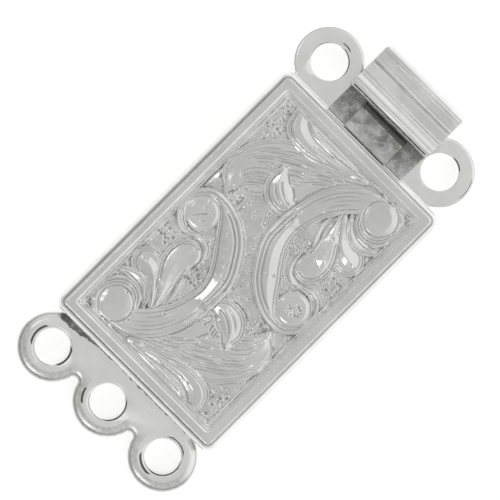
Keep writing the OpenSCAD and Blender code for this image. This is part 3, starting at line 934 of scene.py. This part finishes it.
# the inner volute's eye, scratched on the near side and punched on the far side
eye = Stroke([(0.10, 3.70, 1.06), (0.13, 3.70, 1.06)])
dome = eye.facets((-1, 0.10), (-0.82, 0.15), (-0.5, 0.165), (0.5, 0.165), (0.82, 0.15), (1, 0.10))
strike(eye, dome - 0.02 * np.exp(-(((eye.inside - 0.2) / 0.05) ** 2)), soft=0.1)
for x, y, long in ((-0.25, 3.9, 0.28), (-0.05, 3.75, 0.36), (0.1, 3.6, 0.40), (0.25, 3.45, 0.30),
                   (0.45, 3.75, 0.15), (-0.2, 3.35, 0.2)):
    lean = long * 0.7
    nick([(x - lean, y + lean), (x + 0.03, y + 0.03), (x + lean, y - lean)], 0.011, 0.04, both=False)
for _ in range(34):
    turn, out = die.uniform(0, 6.28), 0.42 * die.uniform(0, 1) ** 0.5
    x, y, lean = -0.16 + out * math.cos(turn), -3.78 + out * math.sin(turn), die.uniform(0, 3.1)
    dx, dy = 0.06 * math.cos(lean), 0.06 * math.sin(lean)
    nick([(x - dx, y - dy), (x, y), (x + dx, y + dy)], 0.02, 0.035, both=False)
# the outer volute: its band, and the dome that it curls round
press(
    [(-8.05, 2.75, 0.10), (-8.1, 3.4, 0.16), (-7.98, 4.1, 0.24), (-7.5, 4.65, 0.28), (-6.85, 4.83, 0.28),
     (-6.15, 4.62, 0.32), (-5.7, 4.15, 0.34), (-5.58, 3.6, 0.34), (-5.78, 3.05, 0.32), (-6.2, 2.7, 0.24),
     (-6.6, 2.5, 0.08)],
    ((-1, 0.09), (-0.5, 0.16), (0.5, 0.15), (1, 0.12)),
    lines=((0.2, 0.3, 0.98, 0.024), (-0.35, 0.4, 0.95, 0.022), (0.7, 0.2, 0.95, 0.018)),
)
press([(-6.95, 3.60, 1.08), (-6.93, 3.60, 1.08)],
      ((-1, 0.10), (-0.86, 0.155), (-0.6, 0.175), (0.6, 0.175), (0.86, 0.155), (1, 0.10)), soft=0.10)
# a row of short ridges along the short side, beside the fan's root
for y in np.arange(-3.2, 0.6, 0.15):
    near, far = y + die.uniform(-0.03, 0.03), y + die.uniform(-0.04, 0.04)
    ridge = Stroke([(-8.2, near, 0.02), (-8.02, y, 0.05), (-7.85, far, 0.02)])
    strike(ridge, ridge.crowned(0.07, 0.04), soft=0.05)
# a bare wedge by the long side, beyond the far fan
press([(-2.75, -4.70, 0.04), (-2.1, -4.64, 0.19), (-1.25, -4.72, 0.05)], ((-1, 0.13), (1, 0.166)), soft=0.05,
      here=False)
# the die's own edge: a plain margin all round, and a fine groove inside it
margin_w, margin_h, groove_in, groove_deep = 0.12, 0.08, 0.17, 0.02
edge = np.minimum(panel_x - np.abs(at_x), panel_y - np.abs(at_y))
open_field = ease((edge - margin_w) / 0.08)
relief = relief * open_field + margin_h * (1 - open_field)
relief -= groove_deep * np.exp(-(((edge - groove_in) / 0.045) ** 2))
# a die-struck face is never quite even
for _ in range(26):
    kx, ky, phase = die.normal(0, 3.2), die.normal(0, 3.2), die.uniform(0, 6.3)
    relief += 0.0009 * np.sin(kx * at_x + ky * at_y + phase)
# a few stray pits
for _ in range(46):
    cx, cy = die.uniform(-panel_x, panel_x), die.uniform(-panel_y, panel_y)
    radius, deep = die.uniform(0.028, 0.05), die.uniform(0.02, 0.06)
    sink(cx, cy, radius, deep, stretch=die.uniform(1.0, 2.2), lean=die.uniform(0, 3.14))

# how deep each place lies in a cut or a pit, below both of its sides; the finish paints shade there
padded = np.pad(relief, 2, mode="edge")
sunk = np.zeros_like(relief)
for across, up in ((2, 0), (0, 2), (1, 1), (1, -1), (2, 1), (1, 2), (2, -1), (1, -2)):
    one = padded[2 + up: 2 + up + cells_y + 1, 2 + across: 2 + across + cells_x + 1]
    other = padded[2 - up: 2 - up + cells_y + 1, 2 - across: 2 - across + cells_x + 1]
    sunk = np.maximum(sunk, np.minimum(one, other) - relief)
sunk = np.clip(sunk / 0.012, 0, 1)

spots[..., 2] = recess_z + np.clip(relief, -0.05, 0.39)
panel.data.vertices.foreach_set("co", spots.ravel())
for name, values in (("sunk", sunk), ("ground", bare)):
    layer = panel.data.attributes.new(name, "FLOAT", "POINT")
    layer.data.foreach_set("value", values.ravel().astype(np.float32))
panel.data.update()
pick(panel, "EDGE", lambda p, along: abs(p.x) > panel_x - 0.001 or abs(p.y) > panel_y - 0.001)
bpy.ops.mesh.extrude_edges_move(TRANSFORM_OT_translate={"value": (0, 0, -0.06)})
bpy.ops.transform.resize(value=(1, 1, 0), center_override=(0, 0, recess_z - 0.08))
bpy.ops.mesh.edge_face_add()
bpy.ops.object.mode_set(mode="OBJECT")
finish_piece(panel, "scroll_panel", "box", angle=75, evened=False)


def panel_finish():
    """The shell's bright plating, with painted shade in the cuts and pits, the stippled ground dulled in
    blotches, and the crests left polished.
    """
    material = plating(
        "panel_plating", silver=(0.85, 0.853, 0.835), shade=(0.78, 0.783, 0.765), rough=0.12, peel=0.7
    )
    tree = material.node_tree
    cuts, ground = (
        add(tree, "ShaderNodeAttribute", {"attribute_name": layer}, output=2) for layer in ("sunk", "ground")
    )
    blotch = noise(tree, add(tree, "ShaderNodeTexCoord", output=3), 1100, 5, 0.7)
    # painted shade in the cuts and pits; the ground's blotches are its own uneven tone
    cut_shade_and_ground_tone = cuts.ramp(0.15, 1.0) * 0.48 + ground * blotch.ramp(0.40, 0.62, 0.0, 0.17)
    return darken_finish(material, cut_shade_and_ground_tone + blotch.ramp(0.52, 0.66, 0.0, 0.05), (0.26, 0.26, 0.25), rougher=0.15)


panel.data.materials.append(panel_finish())

# Studio: a white sweep under a light tent with a white card and two soft windows, and the lens
# straight above. The clasp lies at 45 degrees to the page.

page_turn = math.radians(-45)
slant = 0.7071  # the sine and the cosine of that turn
roof_z = 0.7
bpy.ops.object.select_all(action="DESELECT")
bpy.ops.mesh.primitive_plane_add(size=1.2, location=(0, 0, -0.00002))
sweep = bpy.context.object
sweep.name = "white_sweep"
paper = bpy.data.materials.new("white_paper")
paper.use_nodes = True
paper.node_tree.nodes.clear()
sheet = add(paper.node_tree, "ShaderNodeBsdfPrincipled", None, {
    "Base Color": (0.8, 0.8, 0.8, 1), "Roughness": 0.9,
    "Emission Color": (1, 1, 1, 1), "Emission Strength": 0.55,
})
add(paper.node_tree, "ShaderNodeOutputMaterial", None, {"Surface": sheet})
sweep.data.materials.append(paper)
sweep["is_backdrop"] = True

tent = bpy.data.worlds.new("light_tent")
bpy.context.scene.world = tent
tent.use_nodes = True
tree = tent.node_tree
tree.nodes.clear()
east, north, up = axes(tree, add(tree, "ShaderNodeTexCoord", output=0))
right = (east - north) * slant
# overhead the roof is an even grey; round it runs a lighter ring, then a dark seam, then the white walls
ring = up.ramp(0.90, 0.94, 1.0, 0.0) * up.ramp(0.80, 0.85)
seam = up.ramp(0.76, 0.81, 1.0, 0.0) * up.ramp(0.62, 0.68)
walls = up.ramp(0.50, 0.66, 1.0, 0.0)
# the walls are brighter on the right, and a little darker on the left
sunny = right.ramp(0.35, 0.9) * up.ramp(0.05, 0.30, 1.0, 0.0) * 0.5
sunny = sunny - right.ramp(-0.9, -0.3, 1.0, 0.0) * walls * 0.08
# a white card hangs on the side of the tongue's thumb tab, its two edges square to the box
card = right.ramp(0.12, 0.15) * east.ramp(-0.05, -0.02) * north.ramp(0.05, 0.09, 1.0, 0.0)
card = card * up.ramp(0.70, 0.78)
shade = right.ramp(-0.32, -0.04, 1.0, 0.0) * 0.09
roof = 0.60 - shade + ring * 0.12 - seam * 0.26 + walls * 0.22 + sunny
glow = (roof * (1 - card) + card * 0.87) * up.ramp(0.0, 0.12, 0.9, 1.0)
grey = add(tree, "ShaderNodeCombineXYZ", None, {0: glow, 1: glow, 2: glow})
background = add(tree, "ShaderNodeBackground", None, {"Color": grey, "Strength": 1.0})
add(tree, "ShaderNodeOutputWorld", None, {"Surface": background})


def window(name, right, up_page, size, radiance):
    """A soft window let into the roof, placed by how far it lies to the right and up the page, as shares of
    its height."""
    lamp = bpy.data.lights.new(name, "AREA")
    lamp.shape = "RECTANGLE"
    lamp.size, lamp.size_y = size
    lamp.energy = radiance * math.pi * size[0] * size[1]
    holder = bpy.data.objects.new(name, lamp)
    bpy.context.scene.collection.objects.link(holder)
    holder.location = ((right + up_page) * slant * roof_z, (up_page - right) * slant * roof_z, roof_z)
    holder.rotation_euler = (0, 0, page_turn)


window("window_far", right=-0.165, up_page=0.135, size=(0.036, 0.085), radiance=1.9)
window("window_near", right=-0.36, up_page=-0.34, size=(0.24, 0.16), radiance=1.1)

frame_mm, face_z = 28.09, 3.0  # what the frame takes in, and at which height
above, aim_x, aim_y = 450.0, 0.537, 0.362
lens = bpy.data.cameras.new("camera")
lens.sensor_width = 36
lens.lens = lens.sensor_width * (above - face_z) / frame_mm
lens.clip_start, lens.clip_end = 0.01, 10
camera = bpy.data.objects.new("camera", lens)
bpy.context.scene.collection.objects.link(camera)
camera.location = (aim_x * MM, aim_y * MM, above * MM)
camera.rotation_euler = (0, 0, page_turn)
bpy.context.scene.camera = camera
bpy.context.scene.view_settings.view_transform = "Standard"

low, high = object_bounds()
